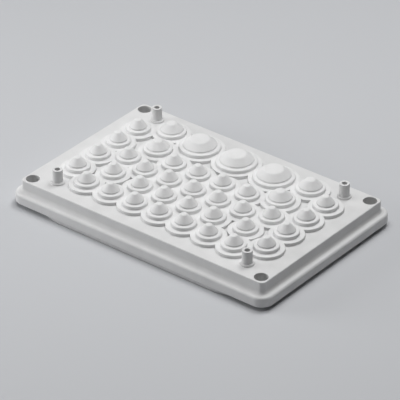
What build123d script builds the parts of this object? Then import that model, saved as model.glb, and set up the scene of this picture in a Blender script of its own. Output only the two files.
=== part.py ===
import os
from math import hypot, sqrt

from build123d import *

# Cable pass-through plate, in millimetres.
# X runs along the plate, Y across it and Z up. Z = 0 is the underside of the seal.

# Rigid plate: raised deck on a flange
DECK_LENGTH = 221.0
DECK_WIDTH = 140.4
DECK_CORNER_R = 3.7
DECK_EDGE_R = 0.8
DECK_THICK = 2.6
DECK_RISE = 9.3
FLANGE_OVERHANG = 5.5
FLANGE_THICK = 7.7
FLANGE_CORNER_R = 10.0
FLANGE_EDGE_R = 2.0
LEDGE_FILLET_R = 3.0
WALL = 3.0

# Screw wells in the corners
SCREW_EDGE_X = 6.5
SCREW_EDGE_Y = 6.7
WELL_R = 5.1
SCREW_HOLE_R = 3.2
WELL_SEAT = 3.5

# Hollow posts on the deck
POST_X = 86.3
POST_Y = 56.5
POST_HEIGHT = 11.4
POST_R = 3.8
POST_BORE_R = 2.0
POST_BORE_DEPTH = 9.0
POST_FOOT_R = 5.2
POST_FOOT_HEIGHT = 1.4

# Seal ring under the flange
SEAL_THICK = 3.0
SEAL_WIDTH = 4.0
SEAL_INSET_X = 3.8
SEAL_INSET_Y = 0.7
SEAL_SCREW_GAP = 1.2
SEAL_LAND = 2.0

# Layout of the membranes
PITCH = 22.35
FRONT_ROW_Y = -46.9
COLUMN_X = 86.1
COLUMN_PITCH = 22.9
SECOND_ROW_OUTER_X = 60.5
SECOND_ROW_OUTER_Y = -25.1
THIRD_ROW_OUTER_X = 65.6
THIRD_ROW_OUTER_Y = -1.7
MEDIUM_BACK_X = 63.8
MEDIUM_BACK_Y = 46.1
MEDIUM_FRONT_X = 56.2
MEDIUM_FRONT_Y = 20.6
LARGE_PITCH = 34.0
LARGE_Y = 42.0

# Steps of the membranes, measured from the deck
PAD_HEIGHT = 2.45
RIM_HEIGHT = 5.1
COLLAR_HEIGHT = 1.2
SKIN = 1.0

SMALL_PAD_R = 13.2
SMALL_RIM_R = 9.4
SMALL_CONE_R = 6.6
SMALL_TOP_R = 2.3
SMALL_HEIGHT = 11.4

MEDIUM_PAD_R = 14.8
MEDIUM_RIM_R = 11.0
MEDIUM_CONE_R = 8.5
MEDIUM_TOP_R = 3.3
MEDIUM_HEIGHT = 11.2

LARGE_PAD_R = 19.0
LARGE_RIM_R = 15.6
LARGE_CONE_R = 12.5
LARGE_TOP_R = 7.2
LARGE_HEIGHT = 10.8

# Room for rounding when edges are picked by their place
PICK_SLACK = 0.001

# Levels
FLANGE_BOTTOM = SEAL_THICK
LEDGE = FLANGE_BOTTOM + FLANGE_THICK
DECK_TOP = LEDGE + DECK_RISE
DECK_UNDER = DECK_TOP - DECK_THICK


def slab(length, width, radius, bottom, top):
    """A block with rounded upright corners."""
    outline = RectangleRounded(length, width, radius)
    return Pos(0, 0, bottom) * extrude(outline, top - bottom)


def post(radius, bottom, top):
    """An upright round post."""
    return Pos(0, 0, bottom) * extrude(Circle(radius), top - bottom)


def in_corners(x, y, shape):
    """Copies of a shape at the four corners of a rectangle."""
    return [place * shape for place in GridLocations(2 * x, 2 * y, 2, 2)]


def mirrored(x, y):
    """A place and its twin across the plate's middle."""
    return [(-x, y), (x, y)]


# Where the membranes are
row_step = PITCH * sqrt(3) / 2
second_row_y = FRONT_ROW_Y + row_step
third_row_y = FRONT_ROW_Y + 2 * row_step
fourth_row_y = FRONT_ROW_Y + 3 * row_step
small_places = [(0, FRONT_ROW_Y), (0, third_row_y)]
for count in (1, 2, 3):
    small_places += mirrored(count * PITCH, FRONT_ROW_Y)
for count in (1, 2):
    small_places += mirrored(count * PITCH, third_row_y)
for count in (0.5, 1.5):
    small_places += mirrored(count * PITCH, second_row_y)
    small_places += mirrored(count * PITCH, fourth_row_y)
    small_places += mirrored(COLUMN_X, count * COLUMN_PITCH)
    small_places += mirrored(COLUMN_X, -count * COLUMN_PITCH)
small_places += mirrored(SECOND_ROW_OUTER_X, SECOND_ROW_OUTER_Y)
small_places += mirrored(THIRD_ROW_OUTER_X, THIRD_ROW_OUTER_Y)
medium_places = mirrored(MEDIUM_BACK_X, MEDIUM_BACK_Y)
medium_places += mirrored(MEDIUM_FRONT_X, MEDIUM_FRONT_Y)
large_places = [(0, LARGE_Y)] + mirrored(LARGE_PITCH, LARGE_Y)

# Seal: its corners turn just inside the screw holes
flange_length = DECK_LENGTH + 2 * FLANGE_OVERHANG
flange_width = DECK_WIDTH + 2 * FLANGE_OVERHANG
seal_length = flange_length - 2 * SEAL_INSET_X
seal_width = flange_width - 2 * SEAL_INSET_Y
screw_x = DECK_LENGTH / 2 - SCREW_EDGE_X
screw_y = DECK_WIDTH / 2 - SCREW_EDGE_Y
to_screw_x = seal_length / 2 - screw_x
to_screw_y = seal_width / 2 - screw_y
clear_r = SCREW_HOLE_R + SEAL_SCREW_GAP
reach = to_screw_x + to_screw_y + clear_r
seal_r = reach + sqrt(reach**2 - to_screw_x**2 - to_screw_y**2 + clear_r**2)
seal = slab(seal_length, seal_width, seal_r, 0, SEAL_THICK)
seal -= slab(
    seal_length - 2 * SEAL_WIDTH,
    seal_width - 2 * SEAL_WIDTH,
    seal_r - SEAL_WIDTH,
    0,
    SEAL_THICK,
)

# Frame: flange and deck in one moulding, hollow below
flange = slab(flange_length, flange_width, FLANGE_CORNER_R, FLANGE_BOTTOM, LEDGE)
rim_edges = flange.faces().sort_by(Axis.Z)[-1].edges()
flange = fillet(rim_edges, FLANGE_EDGE_R)
deck = slab(DECK_LENGTH, DECK_WIDTH, DECK_CORNER_R, FLANGE_BOTTOM, DECK_TOP)
deck = fillet(deck.faces().sort_by(Axis.Z)[-1].edges(), DECK_EDGE_R)
frame = flange + deck
foot_edges = [
    edge
    for edge in frame.edges().filter_by_position(Axis.Z, LEDGE, LEDGE)
    if abs(edge.center().X) <= DECK_LENGTH / 2 + PICK_SLACK
    and abs(edge.center().Y) <= DECK_WIDTH / 2 + PICK_SLACK
]
frame = fillet(foot_edges, LEDGE_FILLET_R)
frame -= slab(
    DECK_LENGTH - 2 * WALL,
    DECK_WIDTH - 2 * WALL,
    seal_r - SEAL_WIDTH - SEAL_LAND,
    FLANGE_BOTTOM,
    DECK_UNDER,
)
seat = FLANGE_BOTTOM + WELL_SEAT
frame -= in_corners(screw_x, screw_y, post(WELL_R, seat, DECK_TOP))
frame -= in_corners(screw_x, screw_y, post(SCREW_HOLE_R, FLANGE_BOTTOM, seat))
post_top = DECK_TOP + POST_HEIGHT
stem = post(POST_R, DECK_TOP, post_top)
stem += post(POST_FOOT_R, DECK_TOP, DECK_TOP + POST_FOOT_HEIGHT)
stem -= post(POST_BORE_R, post_top - POST_BORE_DEPTH, post_top)
frame += in_corners(POST_X, POST_Y, stem)


def membrane(rim_r, cone_r, top_r, height):
    """A raised rim with a short collar and a flat-topped cone in it."""
    shoulder = RIM_HEIGHT + COLLAR_HEIGHT
    points = [
        (0, PAD_HEIGHT),
        (rim_r, PAD_HEIGHT),
        (rim_r, RIM_HEIGHT),
        (cone_r, RIM_HEIGHT),
        (cone_r, shoulder),
        (top_r, height),
        (0, height),
    ]
    return turned(points)


def hollow(cone_r, top_r, height):
    """The space under a membrane, which leaves a thin skin."""
    shoulder = RIM_HEIGHT + COLLAR_HEIGHT
    slope = (height - shoulder) / (cone_r - top_r)
    peak = shoulder + slope * cone_r - SKIN * hypot(1, slope)
    ceiling = height - SKIN
    hollow_r = cone_r - SKIN
    points = [
        (0, 0),
        (hollow_r, 0),
        (hollow_r, peak - slope * hollow_r),
        ((peak - ceiling) / slope, ceiling),
        (0, ceiling),
    ]
    return turned(points)


def turned(points):
    """A turned solid from its half section, lifted to the deck."""
    section = make_face(Plane.XZ * Polyline(*points, close=True))
    return Pos(0, 0, DECK_TOP) * revolve(section, Axis.Z)


small = (SMALL_RIM_R, SMALL_CONE_R, SMALL_TOP_R, SMALL_HEIGHT)
medium = (MEDIUM_RIM_R, MEDIUM_CONE_R, MEDIUM_TOP_R, MEDIUM_HEIGHT)
large = (LARGE_RIM_R, LARGE_CONE_R, LARGE_TOP_R, LARGE_HEIGHT)
sizes = [
    (small_places, SMALL_PAD_R, small),
    (medium_places, MEDIUM_PAD_R, medium),
    (large_places, LARGE_PAD_R, large),
]
discs = []
domes = []
spaces = []
deck_holes = []
for places, pad_r, (rim_r, cone_r, top_r, height) in sizes:
    dome = membrane(rim_r, cone_r, top_r, height)
    space = hollow(cone_r, top_r, height)
    for x, y in places:
        discs.append(Pos(x, y) * Circle(pad_r))
        domes.append(Pos(x, y) * dome)
        spaces.append(Pos(x, y) * space)
        deck_holes.append(Pos(x, y) * post(cone_r, DECK_UNDER, DECK_TOP))
pad_outline = Sketch() + discs
pad = Pos(0, 0, DECK_TOP) * extrude(pad_outline, PAD_HEIGHT)
mat = pad + domes
mat -= spaces
frame -= deck_holes

os.makedirs("parts", exist_ok=True)
export_step(frame, "parts/plate_frame.step")
export_step(mat, "parts/membrane_mat.step")
export_step(seal, "parts/flange_seal.step")
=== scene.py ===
from collections import namedtuple
from math import acos, atan2, ceil, cos, hypot, pi, radians, sin, sqrt, tan

import bmesh
import bpy
import numpy as np
from mathutils import Matrix, Vector
from mathutils.geometry import delaunay_2d_cdt


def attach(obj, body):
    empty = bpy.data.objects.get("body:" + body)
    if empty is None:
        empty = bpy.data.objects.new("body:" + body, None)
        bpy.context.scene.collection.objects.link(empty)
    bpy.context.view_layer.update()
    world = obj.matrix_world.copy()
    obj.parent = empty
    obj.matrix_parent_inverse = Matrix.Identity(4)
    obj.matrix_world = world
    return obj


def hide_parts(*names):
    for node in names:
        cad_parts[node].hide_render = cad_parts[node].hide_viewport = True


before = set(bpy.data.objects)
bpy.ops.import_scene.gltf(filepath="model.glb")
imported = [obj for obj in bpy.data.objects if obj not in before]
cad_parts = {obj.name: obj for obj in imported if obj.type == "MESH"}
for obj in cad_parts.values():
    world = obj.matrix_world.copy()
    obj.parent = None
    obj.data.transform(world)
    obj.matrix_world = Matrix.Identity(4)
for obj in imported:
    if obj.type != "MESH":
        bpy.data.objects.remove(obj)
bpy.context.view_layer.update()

# Sizes are in millimetres and follow the solids. Z = 0 is the underside of the seal.
MM = 0.001

# Frame: raised deck on a flange, hollow below
DECK_LENGTH = 221.0
DECK_WIDTH = 140.4
DECK_CORNER_R = 3.7
DECK_EDGE_R = 0.8
DECK_THICK = 2.6
DECK_RISE = 9.3
FLANGE_OVERHANG = 5.5
FLANGE_THICK = 7.7
FLANGE_CORNER_R = 10.0
FLANGE_EDGE_R = 2.0
FLANGE_FOOT_R = 0.5
FLANGE_TURN_IN = 2.5
LEDGE_FILLET_R = 3.0
WALL = 3.0
CAVITY_ROUND = 1.0

# Screw wells in the corners
SCREW_EDGE_X = 6.5
SCREW_EDGE_Y = 6.7
SCREW_HOLE_R = 3.2
WELL_R = 5.1
WELL_SEAT_THICK = 3.5

# Hollow posts on the deck
POST_AT = (86.3, 56.5)
POST_HEIGHT = 11.4
POST_R = 3.8
POST_BORE_R = 2.0
POST_BORE_DEPTH = 9.0
POST_FOOT_R = 5.2
POST_FOOT_HEIGHT = 1.4
POST_FOOT_ROUND = 0.9

# Seal ring under the flange
SEAL_THICK = 3.0
SEAL_WIDTH = 4.0
SEAL_INSET_X = 3.8
SEAL_INSET_Y = 0.7
SEAL_CORNER_R = 44.1
SEAL_LAND = 2.0
SEAL_TOP_ROUND = 0.2
SEAL_FOOT_ROUND = 0.7

# Membranes: radii of the pad, the rim, and the cone at its foot and at its flat top; the height above
# the deck; and how round the cone is at its foot and round its top
Membrane = namedtuple("Membrane", "pad rim cone flat height foot_round top_round")
SMALL = Membrane(pad=13.2, rim=9.4, cone=6.6, flat=2.3, height=11.4, foot_round=0.3, top_round=1.4)
MEDIUM = Membrane(pad=14.8, rim=11.0, cone=8.5, flat=3.3, height=11.2, foot_round=0.9, top_round=2.4)
LARGE = Membrane(pad=19.0, rim=15.6, cone=12.5, flat=7.2, height=10.8, foot_round=0.9, top_round=3.0)
PAD_HEIGHT = 2.45
RIM_HEIGHT = 5.1
RIM_ROUND = 0.8
COLLAR_HEIGHT = 1.2
SHOULDER_ROUND = 0.5
SKIN = 1.0

# Layout of the membranes
PITCH = 22.35
FRONT_ROW_Y = -46.9
COLUMN_X = 86.1
COLUMN_PITCH = 22.9
SECOND_ROW_OUTER = (60.5, -25.1)
THIRD_ROW_OUTER = (65.6, -1.7)
MEDIUM_BACK = (63.8, 46.1)
MEDIUM_FRONT = (56.2, 20.6)
LARGE_PITCH = 34.0
LARGE_Y = 42.0

# Other moulded edges
CRISP = 0.3
SOFT = 0.45

# Flat strips that the sections take in beside their rounded edges
FLAT = 0.2
NARROW_FLAT = 0.05
CEILING_FLAT = 0.5
PAD_FLAT = 0.1
RIM_FLAT = 0.3

# Levels
FLANGE_BOTTOM = SEAL_THICK
LEDGE = FLANGE_BOTTOM + FLANGE_THICK
DECK_TOP = LEDGE + DECK_RISE
DECK_UNDER = DECK_TOP - DECK_THICK
WELL_SEAT = FLANGE_BOTTOM + WELL_SEAT_THICK
POST_TOP = DECK_TOP + POST_HEIGHT
POST_BORE_FLOOR = POST_TOP - POST_BORE_DEPTH
POST_FOOT_TOP = DECK_TOP + POST_FOOT_HEIGHT
PAD_TOP = DECK_TOP + PAD_HEIGHT
RIM_TOP = DECK_TOP + RIM_HEIGHT
SHOULDER = RIM_TOP + COLLAR_HEIGHT

# Outlines, as half sizes from the middle
DECK_HALF = (DECK_LENGTH / 2, DECK_WIDTH / 2)
FLANGE_HALF = (DECK_HALF[0] + FLANGE_OVERHANG, DECK_HALF[1] + FLANGE_OVERHANG)
CAVITY_HALF = (DECK_HALF[0] - WALL, DECK_HALF[1] - WALL)
CAVITY_CORNER_R = SEAL_CORNER_R - SEAL_WIDTH - SEAL_LAND
SEAL_HALF = (FLANGE_HALF[0] - SEAL_INSET_X, FLANGE_HALF[1] - SEAL_INSET_Y)
SCREW_AT = (DECK_HALF[0] - SCREW_EDGE_X, DECK_HALF[1] - SCREW_EDGE_Y)

# Fineness of the meshes
TURN_STEPS = 56
CORNER_STEPS = 14
ROUND_STEPS = 4
SCALLOP_STEP = 0.9
SCALLOP_MIN_STEPS = 3
SMOOTH_ANGLE = radians(32)
INSIDE_CONSTRAINTS = 1
CDT_EPSILON = 1e-6
TINY = 1e-6

# Finishes: the darkest and lightest grey, the least and most roughness, the size and depth of the grain,
# and the size of the mottling
Finish = namedtuple("Finish", "grey rough grain grain_depth mottle")
FRAME_FINISH = Finish(grey=(0.70, 0.75), rough=(0.42, 0.52), grain=0.45, grain_depth=0.11, mottle=14)
MAT_FINISH = Finish(grey=(0.76, 0.81), rough=(0.46, 0.58), grain=0.4, grain_depth=0.05, mottle=9)
SEAL_FINISH = Finish(grey=(0.60, 0.68), rough=(0.7, 0.85), grain=0.7, grain_depth=0.14, mottle=4)
SPECULAR = 0.4
MOTTLE_DETAIL = 3
GLOSS_DETAIL = 4
GLOSS_FINENESS = 4
GRAIN_DETAIL = 2
NOISE_LOW = 0.3
NOISE_HIGH = 0.7

# Sockets of a mix of colours, by number because their names repeat
MIX_FACTOR = 0
MIX_FIRST = 6
MIX_SECOND = 7
MIX_RESULT = 2

# Floor
FLOOR_HALF = 4000.0
FLOOR_COLOUR = (0.55, 0.56, 0.58)
FLOOR_ROUGH = 0.7

# Lights, with their power in watts
Lamp = namedtuple("Lamp", "name place size power")
LAMPS = [
    Lamp("above", place=(-50, 50, 1200), size=1000, power=10.4),
    Lamp("key", place=(0, 450, 1100), size=350, power=2.8),
    Lamp("back", place=(50, 950, 800), size=900, power=1.7),
    Lamp("left", place=(-800, -500, 280), size=500, power=4.6),
]
WORLD_COLOUR = (0.96, 0.98, 1.0)
WORLD_STRENGTH = 0.012

# Camera: its direction and distance from the middle of the deck, how far it is moved sideways and up,
# and its focal length in pixels of a picture this wide
CAMERA_AZIMUTH = radians(38.57)
CAMERA_ELEVATION = radians(31.78)
CAMERA_DISTANCE = 2340
CAMERA_SIDEWAYS = -0.416
CAMERA_UP = -7.49
PICTURE_PIXELS = 400
FOCAL_PIXELS = 3263
SENSOR_WIDTH = 36
CLIP_NEAR = 100
CLIP_FAR = 20000


def mirrored(x, y):
    """A place and its twin across the plate's middle."""
    return [(-x, y), (x, y)]


def four(place):
    """The four corners of a rectangle about the middle."""
    x, y = place
    return [(-x, -y), (x, -y), (x, y), (-x, y)]


def membrane_places():
    """Where each membrane stands, with its sizes."""
    rows = [FRONT_ROW_Y + step * PITCH * sqrt(3) / 2 for step in range(4)]
    small = [(0, rows[0]), (0, rows[2])]
    for count in (1, 2, 3):
        small += mirrored(count * PITCH, rows[0])
    for count in (1, 2):
        small += mirrored(count * PITCH, rows[2])
    for count in (0.5, 1.5):
        small += mirrored(count * PITCH, rows[1])
        small += mirrored(count * PITCH, rows[3])
        small += mirrored(COLUMN_X, count * COLUMN_PITCH)
        small += mirrored(COLUMN_X, -count * COLUMN_PITCH)
    small += mirrored(*SECOND_ROW_OUTER)
    small += mirrored(*THIRD_ROW_OUTER)
    medium = mirrored(*MEDIUM_BACK) + mirrored(*MEDIUM_FRONT)
    large = [(0, LARGE_Y)] + mirrored(LARGE_PITCH, LARGE_Y)
    kinds = [(small, SMALL), (medium, MEDIUM), (large, LARGE)]
    return [(x, y, kind) for places, kind in kinds for x, y in places]


def circle(x, y, radius):
    """Points round a circle."""
    turns = [2 * pi * step / TURN_STEPS for step in range(TURN_STEPS)]
    return [(x + radius * cos(turn), y + radius * sin(turn)) for turn in turns]


def rounded_rectangle(half, radius):
    """Points round a rectangle with rounded corners."""
    line = []
    for corner, (side_x, side_y) in enumerate([(1, 1), (-1, 1), (-1, -1), (1, -1)]):
        centre_x = side_x * (half[0] - radius)
        centre_y = side_y * (half[1] - radius)
        for step in range(CORNER_STEPS + 1):
            turn = pi / 2 * (corner + step / CORNER_STEPS)
            line.append((centre_x + radius * cos(turn), centre_y + radius * sin(turn)))
    return line


def grown(half, amount):
    """A rectangle's half sizes, with the same amount added to each."""
    return (half[0] + amount, half[1] + amount)


def filleted(corners):
    """A section line with rounded corners, from (distance, height, radius)."""
    line = []
    for number, (x, z, radius) in enumerate(corners):
        if radius == 0:
            line.append((x, z))
            continue
        here = Vector((x, z))
        back = (Vector(corners[number - 1][:2]) - here).normalized()
        ahead = (Vector(corners[(number + 1) % len(corners)][:2]) - here).normalized()
        half = back.angle(ahead) / 2
        centre = here + (back + ahead).normalized() * radius / sin(half)
        start = here + back * radius / tan(half) - centre
        end = here + ahead * radius / tan(half) - centre
        sweep = pi - 2 * half
        for step in range(ROUND_STEPS + 1):
            share = step / ROUND_STEPS
            arm = start * sin((1 - share) * sweep) + end * sin(share * sweep)
            line.append(tuple(centre + arm / sin(sweep)))
    return line


def inside(points, loop):
    """Which points lie within a closed line, by counting crossings."""
    x, y = points[:, :1], points[:, 1:]
    x0, y0 = loop[:, 0], loop[:, 1]
    x1, y1 = np.roll(x0, -1), np.roll(y0, -1)
    spans = (y0 > y) != (y1 > y)
    rise = np.where(y1 == y0, 1.0, y1 - y0)
    left = x < x0 + (y - y0) * (x1 - x0) / rise
    return (spans & left).sum(1) % 2 == 1


class Shell:
    """A closed surface put together from loops of points."""

    def __init__(self):
        self.points = []
        self.faces = []

    def loop(self, line, z):
        """Adds a closed line of points at one height and returns their numbers."""
        first = len(self.points)
        self.points += [(x, y, z) for x, y in line]
        return list(range(first, len(self.points)))

    def bridge(self, one, other):
        """Joins two loops of as many points by a band."""
        for here in range(len(one)):
            after = (here + 1) % len(one)
            self.faces.append((one[here], one[after], other[after], other[here]))

    def stack(self, loops):
        """Joins each loop to the next."""
        for one, other in zip(loops, loops[1:]):
            self.bridge(one, other)

    def wrap(self, half, corner_r, section):
        """Takes a section round a rectangle with rounded corners and returns its loops."""
        loops = []
        for out, z in section:
            loops.append(self.loop(rounded_rectangle(grown(half, out), corner_r + out), z))
        self.stack(loops)
        return loops

    def turn(self, x, y, section):
        """Turns a section about an upright axis and returns its loops."""
        loops = [self.loop(circle(x, y, radius), z) for radius, z in section if radius > TINY]
        self.stack(loops)
        if section[-1][0] <= TINY:
            tip = self.loop([(x, y)], section[-1][1])[0]
            last = loops[-1]
            for here in range(TURN_STEPS):
                self.faces.append((last[here], last[(here + 1) % TURN_STEPS], tip))
        return loops

    def fill(self, outer, holes):
        """Closes the flat region between an outer loop and the holes in it."""
        loops = [outer, *holes]
        numbers = [number for loop in loops for number in loop]
        flat = [Vector(self.points[number][:2]) for number in numbers]
        edges = []
        first = 0
        for loop in loops:
            last = first + len(loop) - 1
            edges += [(here, here + 1) for here in range(first, last)]
            edges.append((last, first))
            first = last + 1
        made = delaunay_2d_cdt(flat, edges, [], INSIDE_CONSTRAINTS, CDT_EPSILON)
        places, _, triangles, origins = made[:4]
        middles = np.array(places)[np.array(triangles)].mean(1)
        lines = [np.array([self.points[number][:2] for number in loop]) for loop in loops]
        keep = inside(middles, lines[0])
        for line in lines[1:]:
            keep &= ~inside(middles, line)
        for triangle, kept in zip(triangles, keep):
            if kept:
                self.faces.append(tuple(numbers[origins[corner][0]] for corner in triangle))

    def piece(self, name, material, node):
        """Makes the object, which stands for a solid of the frame."""
        mesh = bpy.data.meshes.new(name)
        mesh.from_pydata([Vector(point) * MM for point in self.points], [], self.faces)
        work = bmesh.new()
        work.from_mesh(mesh)
        bmesh.ops.recalc_face_normals(work, faces=work.faces)
        work.to_mesh(mesh)
        work.free()
        mesh.polygons.foreach_set("use_smooth", [True] * len(mesh.polygons))
        mesh.set_sharp_from_angle(angle=SMOOTH_ANGLE)
        mesh.materials.append(material)
        made = bpy.data.objects.new(name, mesh)
        bpy.context.scene.collection.objects.link(made)
        normals = made.modifiers.new("flat_faces_stay_flat", "WEIGHTED_NORMAL")
        normals.keep_sharp = True
        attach(made, "root")
        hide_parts(node)


def within(angle, low, high):
    """Whether an angle lies within a span."""
    return (angle - low) % (2 * pi) < high - low


def crossing(discs, one, other, inset):
    """Where two discs' edges cross, seen from the first: middle and half span."""
    x, y, radius = discs[one]
    other_x, other_y, other_radius = discs[other]
    radius -= inset
    other_radius -= inset
    gap = hypot(other_x - x, other_y - y)
    middle = atan2(other_y - y, other_x - x)
    half = acos((gap**2 + radius**2 - other_radius**2) / (2 * gap * radius))
    return middle, half


def scallops(discs):
    """Loops round the union of some discs, each a list of (before, disc, after)."""
    next_disc = {}
    for one, (x, y, radius) in enumerate(discs):
        spans = []
        for other, (other_x, other_y, other_radius) in enumerate(discs):
            if one != other and hypot(other_x - x, other_y - y) < radius + other_radius:
                middle, half = crossing(discs, one, other, 0)
                spans.append((middle - half, middle + half, other))
        for _, end, before in spans:
            rest = [span for span in spans if span[2] != before]
            if any(within(end, low, high) for low, high, _ in rest):
                continue
            after = min(spans, key=lambda span: (span[0] - end) % (2 * pi))
            next_disc[(before, one)] = after[2]
    loops = []
    while next_disc:
        before, one = next(iter(next_disc))
        loop = []
        while (before, one) in next_disc:
            after = next_disc.pop((before, one))
            loop.append((before, one, after))
            before, one = one, after
        loops.append(loop)
    return loops


def scallop_line(discs, loop, inset):
    """Points along a scalloped loop, drawn in by an amount."""
    line = []
    for before, one, after in loop:
        x, y, radius = discs[one]
        sweeps = []
        for drawn_in in (0, inset):
            middle, half = crossing(discs, one, before, drawn_in)
            start = middle + half
            middle, half = crossing(discs, one, after, drawn_in)
            sweeps.append((start, (middle - half - start) % (2 * pi)))
        count = max(SCALLOP_MIN_STEPS, ceil(sweeps[0][1] * radius / SCALLOP_STEP))
        start, sweep = sweeps[1]
        for step in range(count):
            turn = start + sweep * step / count
            line.append((x + (radius - inset) * cos(turn), y + (radius - inset) * sin(turn)))
    return line


def side_loops(shell):
    """The sides of the frame, from the deck's edge to the underside of the flange."""
    corner_growth = (FLANGE_CORNER_R - DECK_CORNER_R) / FLANGE_OVERHANG
    side = filleted([
        (-DECK_EDGE_R - NARROW_FLAT, DECK_TOP, 0),
        (0, DECK_TOP, DECK_EDGE_R),
        (0, LEDGE, LEDGE_FILLET_R),
        (FLANGE_OVERHANG, LEDGE, FLANGE_EDGE_R),
        (FLANGE_OVERHANG, FLANGE_BOTTOM, FLANGE_FOOT_R),
        (FLANGE_OVERHANG - FLANGE_TURN_IN, FLANGE_BOTTOM, 0),
    ])
    loops = []
    for out, z in side:
        radius = DECK_CORNER_R + out * corner_growth
        loops.append(shell.loop(rounded_rectangle(grown(DECK_HALF, out), radius), z))
    shell.stack(loops)
    return loops


def well_section():
    """A screw well from the deck down to its seat, and the hole below."""
    return filleted([
        (WELL_R + CRISP + NARROW_FLAT, DECK_TOP, 0),
        (WELL_R, DECK_TOP, CRISP),
        (WELL_R, WELL_SEAT, CRISP),
        (SCREW_HOLE_R, WELL_SEAT, CRISP),
        (SCREW_HOLE_R, FLANGE_BOTTOM, CRISP),
        (SCREW_HOLE_R + CRISP + FLAT, FLANGE_BOTTOM, 0),
    ])


def post_section():
    """A post with its foot and its bore."""
    return filleted([
        (POST_FOOT_R + CRISP + FLAT, DECK_TOP, 0),
        (POST_FOOT_R, DECK_TOP, CRISP),
        (POST_FOOT_R, POST_FOOT_TOP, POST_FOOT_ROUND),
        (POST_R, POST_FOOT_TOP, SOFT),
        (POST_R, POST_TOP, CRISP),
        (POST_BORE_R, POST_TOP, CRISP),
        (POST_BORE_R, POST_BORE_FLOOR, 0),
        (0, POST_BORE_FLOOR, 0),
    ])


def deck_hole_section(kind):
    """The hole in the deck under a membrane."""
    return [
        (kind.cone, DECK_TOP),
        (kind.cone, DECK_UNDER + CRISP),
        (kind.cone + CRISP, DECK_UNDER),
    ]


def cavity_section():
    """The walls of the hollow underside."""
    return filleted([
        (CRISP + FLAT, FLANGE_BOTTOM, 0),
        (0, FLANGE_BOTTOM, CRISP),
        (0, DECK_UNDER, CAVITY_ROUND),
        (-CAVITY_ROUND - CEILING_FLAT, DECK_UNDER, 0),
    ])


def frame_piece(material, membranes):
    """The rigid moulding: flange, deck, wells, posts and hollow underside."""
    shell = Shell()
    sides = side_loops(shell)
    deck_holes = []
    floor_holes = []
    ceiling_holes = []
    for x, y in four(SCREW_AT):
        loops = shell.turn(x, y, well_section())
        deck_holes.append(loops[0])
        floor_holes.append(loops[-1])
    for x, y in four(POST_AT):
        deck_holes.append(shell.turn(x, y, post_section())[0])
    for x, y, kind in membranes:
        loops = shell.turn(x, y, deck_hole_section(kind))
        deck_holes.append(loops[0])
        ceiling_holes.append(loops[-1])
    cavity = shell.wrap(CAVITY_HALF, CAVITY_CORNER_R, cavity_section())
    shell.fill(sides[0], deck_holes)
    shell.fill(sides[-1], [cavity[0], *floor_holes])
    shell.fill(cavity[-1], ceiling_holes)
    shell.piece("plate_frame_moulding", material, "plate_frame")


def membrane_section(kind):
    """The top of a membrane: rim wall, flat rim, collar and flat-topped cone."""
    top = DECK_TOP + kind.height
    return filleted([
        (kind.rim + CRISP + RIM_FLAT, PAD_TOP, 0),
        (kind.rim, PAD_TOP, CRISP),
        (kind.rim, RIM_TOP, RIM_ROUND),
        (kind.cone, RIM_TOP, kind.foot_round),
        (kind.cone, SHOULDER, SHOULDER_ROUND),
        (kind.flat, top, kind.top_round),
        (0, top, 0),
    ])


def hollow_section(kind):
    """The underside of a membrane, one skin below its top."""
    top = DECK_TOP + kind.height
    slope = (top - SHOULDER) / (kind.cone - kind.flat)
    peak = SHOULDER + slope * kind.cone - SKIN * hypot(1, slope)
    ceiling = top - SKIN
    radius = kind.cone - SKIN
    return filleted([
        (radius, DECK_TOP, 0),
        (radius, peak - slope * radius, SOFT),
        ((peak - ceiling) / slope, ceiling, SOFT),
        (0, ceiling, 0),
    ])


def mat_piece(material, membranes):
    """The soft moulding: a scalloped pad with all its membranes."""
    shell = Shell()
    discs = [(x, y, kind.pad) for x, y, kind in membranes]
    edge = filleted([(0, DECK_TOP, 0), (0, PAD_TOP, SOFT), (SOFT + PAD_FLAT, PAD_TOP, 0)])
    lower = []
    upper = []
    for scallop in scallops(discs):
        loops = [shell.loop(scallop_line(discs, scallop, inset), z) for inset, z in edge]
        shell.stack(loops)
        lower.append(loops[0])
        upper.append(loops[-1])
    outermost = max(range(len(lower)), key=lambda number: len(lower[number]))
    lower_outer = lower.pop(outermost)
    upper_outer = upper.pop(outermost)
    for x, y, kind in membranes:
        upper.append(shell.turn(x, y, membrane_section(kind))[0])
        lower.append(shell.turn(x, y, hollow_section(kind))[0])
    shell.fill(upper_outer, upper)
    shell.fill(lower_outer, lower)
    shell.piece("membrane_mat_moulding", material, "membrane_mat")


def seal_piece(material):
    """The soft ring under the flange."""
    shell = Shell()
    section = filleted([
        (0, FLANGE_BOTTOM, SEAL_TOP_ROUND),
        (0, 0, SEAL_FOOT_ROUND),
        (-SEAL_WIDTH, 0, SEAL_FOOT_ROUND),
        (-SEAL_WIDTH, FLANGE_BOTTOM, SEAL_TOP_ROUND),
    ])
    loops = shell.wrap(SEAL_HALF, SEAL_CORNER_R, section)
    shell.bridge(loops[-1], loops[0])
    shell.piece("flange_seal_ring", material, "flange_seal")


def noise(tree, coordinates, size, detail):
    """A noise texture whose grains are about as large as the size."""
    node = tree.nodes.new("ShaderNodeTexNoise")
    node.inputs["Scale"].default_value = 1 / (size * MM)
    node.inputs["Detail"].default_value = detail
    tree.links.new(coordinates, node.inputs["Vector"])
    return node.outputs["Fac"]


def between(tree, factor, low, high):
    """A value that follows a noise from low to high."""
    node = tree.nodes.new("ShaderNodeMapRange")
    node.inputs["From Min"].default_value = NOISE_LOW
    node.inputs["From Max"].default_value = NOISE_HIGH
    node.inputs["To Min"].default_value = low
    node.inputs["To Max"].default_value = high
    tree.links.new(factor, node.inputs["Value"])
    return node.outputs["Result"]


def opaque(grey):
    """A grey as a colour with its alpha."""
    return (grey, grey, grey, 1)


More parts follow.
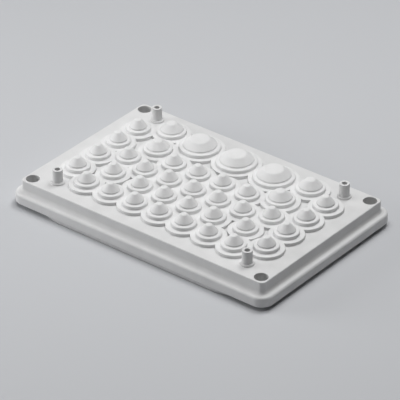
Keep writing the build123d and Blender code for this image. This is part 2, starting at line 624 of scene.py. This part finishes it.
def moulded(name, finish):
    """A moulded plastic: faint mottling, a fine grain and uneven gloss."""
    material = bpy.data.materials.new(name)
    material.use_nodes = True
    tree = material.node_tree
    shader = tree.nodes["Principled BSDF"]
    coordinates = tree.nodes.new("ShaderNodeTexCoord").outputs["Object"]
    mottle = noise(tree, coordinates, finish.mottle, MOTTLE_DETAIL)
    colours = tree.nodes.new("ShaderNodeMix")
    colours.data_type = "RGBA"
    colours.inputs[MIX_FIRST].default_value = opaque(finish.grey[0])
    colours.inputs[MIX_SECOND].default_value = opaque(finish.grey[1])
    tree.links.new(between(tree, mottle, 0, 1), colours.inputs[MIX_FACTOR])
    tree.links.new(colours.outputs[MIX_RESULT], shader.inputs["Base Color"])
    gloss = noise(tree, coordinates, finish.mottle / GLOSS_FINENESS, GLOSS_DETAIL)
    tree.links.new(between(tree, gloss, *finish.rough), shader.inputs["Roughness"])
    bump = tree.nodes.new("ShaderNodeBump")
    bump.inputs["Strength"].default_value = 1
    bump.inputs["Distance"].default_value = finish.grain_depth * MM
    tree.links.new(noise(tree, coordinates, finish.grain, GRAIN_DETAIL), bump.inputs["Height"])
    tree.links.new(bump.outputs["Normal"], shader.inputs["Normal"])
    shader.inputs["Specular IOR Level"].default_value = SPECULAR
    return material


def floor_finish():
    """A flat finish for the floor."""
    material = bpy.data.materials.new("floor_pale")
    material.use_nodes = True
    shader = material.node_tree.nodes["Principled BSDF"]
    shader.inputs["Base Color"].default_value = (*FLOOR_COLOUR, 1)
    shader.inputs["Roughness"].default_value = FLOOR_ROUGH
    return material


def floor_piece():
    """A wide pale floor under the seal."""
    half = FLOOR_HALF * MM
    mesh = bpy.data.meshes.new("floor")
    corners = [(x, y, 0) for x, y in four((half, half))]
    mesh.from_pydata(corners, [], [(0, 1, 2, 3)])
    mesh.materials.append(floor_finish())
    made = bpy.data.objects.new("floor", mesh)
    bpy.context.scene.collection.objects.link(made)


def area_light(lamp):
    """A square soft light that looks at the plate."""
    light = bpy.data.lights.new(lamp.name, "AREA")
    light.shape = "SQUARE"
    light.size = lamp.size * MM
    light.energy = lamp.power
    made = bpy.data.objects.new(lamp.name, light)
    place = Vector(lamp.place) * MM
    made.location = place
    made.rotation_mode = "QUATERNION"
    made.rotation_quaternion = (-place).to_track_quat("-Z", "Y")
    bpy.context.scene.collection.objects.link(made)


def light_scene():
    """Soft studio light, mostly from above, with some from the back and low from the left."""
    for lamp in LAMPS:
        area_light(lamp)
    world = bpy.data.worlds.new("studio")
    world.use_nodes = True
    sky = world.node_tree.nodes["Background"]
    sky.inputs["Color"].default_value = (*WORLD_COLOUR, 1)
    sky.inputs["Strength"].default_value = WORLD_STRENGTH
    bpy.context.scene.world = world


def place_camera():
    """The camera of the photograph, for a square picture."""
    level = cos(CAMERA_ELEVATION)
    back = Vector((sin(CAMERA_AZIMUTH) * level, -cos(CAMERA_AZIMUTH) * level, sin(CAMERA_ELEVATION)))
    right = Vector((cos(CAMERA_AZIMUTH), sin(CAMERA_AZIMUTH), 0))
    up = back.cross(right)
    place = back * CAMERA_DISTANCE + right * CAMERA_SIDEWAYS + up * CAMERA_UP + Vector((0, 0, DECK_TOP))
    lens = bpy.data.cameras.new("camera")
    lens.sensor_width = SENSOR_WIDTH
    lens.lens = SENSOR_WIDTH * FOCAL_PIXELS / PICTURE_PIXELS
    lens.clip_start = CLIP_NEAR * MM
    lens.clip_end = CLIP_FAR * MM
    camera = bpy.data.objects.new("camera", lens)
    turned = Matrix((right, up, back)).transposed().to_4x4()
    camera.matrix_world = Matrix.Translation(place * MM) @ turned
    bpy.context.scene.collection.objects.link(camera)
    bpy.context.scene.camera = camera


bpy.context.scene.view_settings.view_transform = "Standard"
everywhere = membrane_places()
frame_plastic = moulded("frame_plastic", FRAME_FINISH)
mat_plastic = moulded("mat_plastic", MAT_FINISH)
seal_plastic = moulded("seal_plastic", SEAL_FINISH)
frame_piece(frame_plastic, everywhere)
mat_piece(mat_plastic, everywhere)
seal_piece(seal_plastic)
floor_piece()
light_scene()
place_camera()
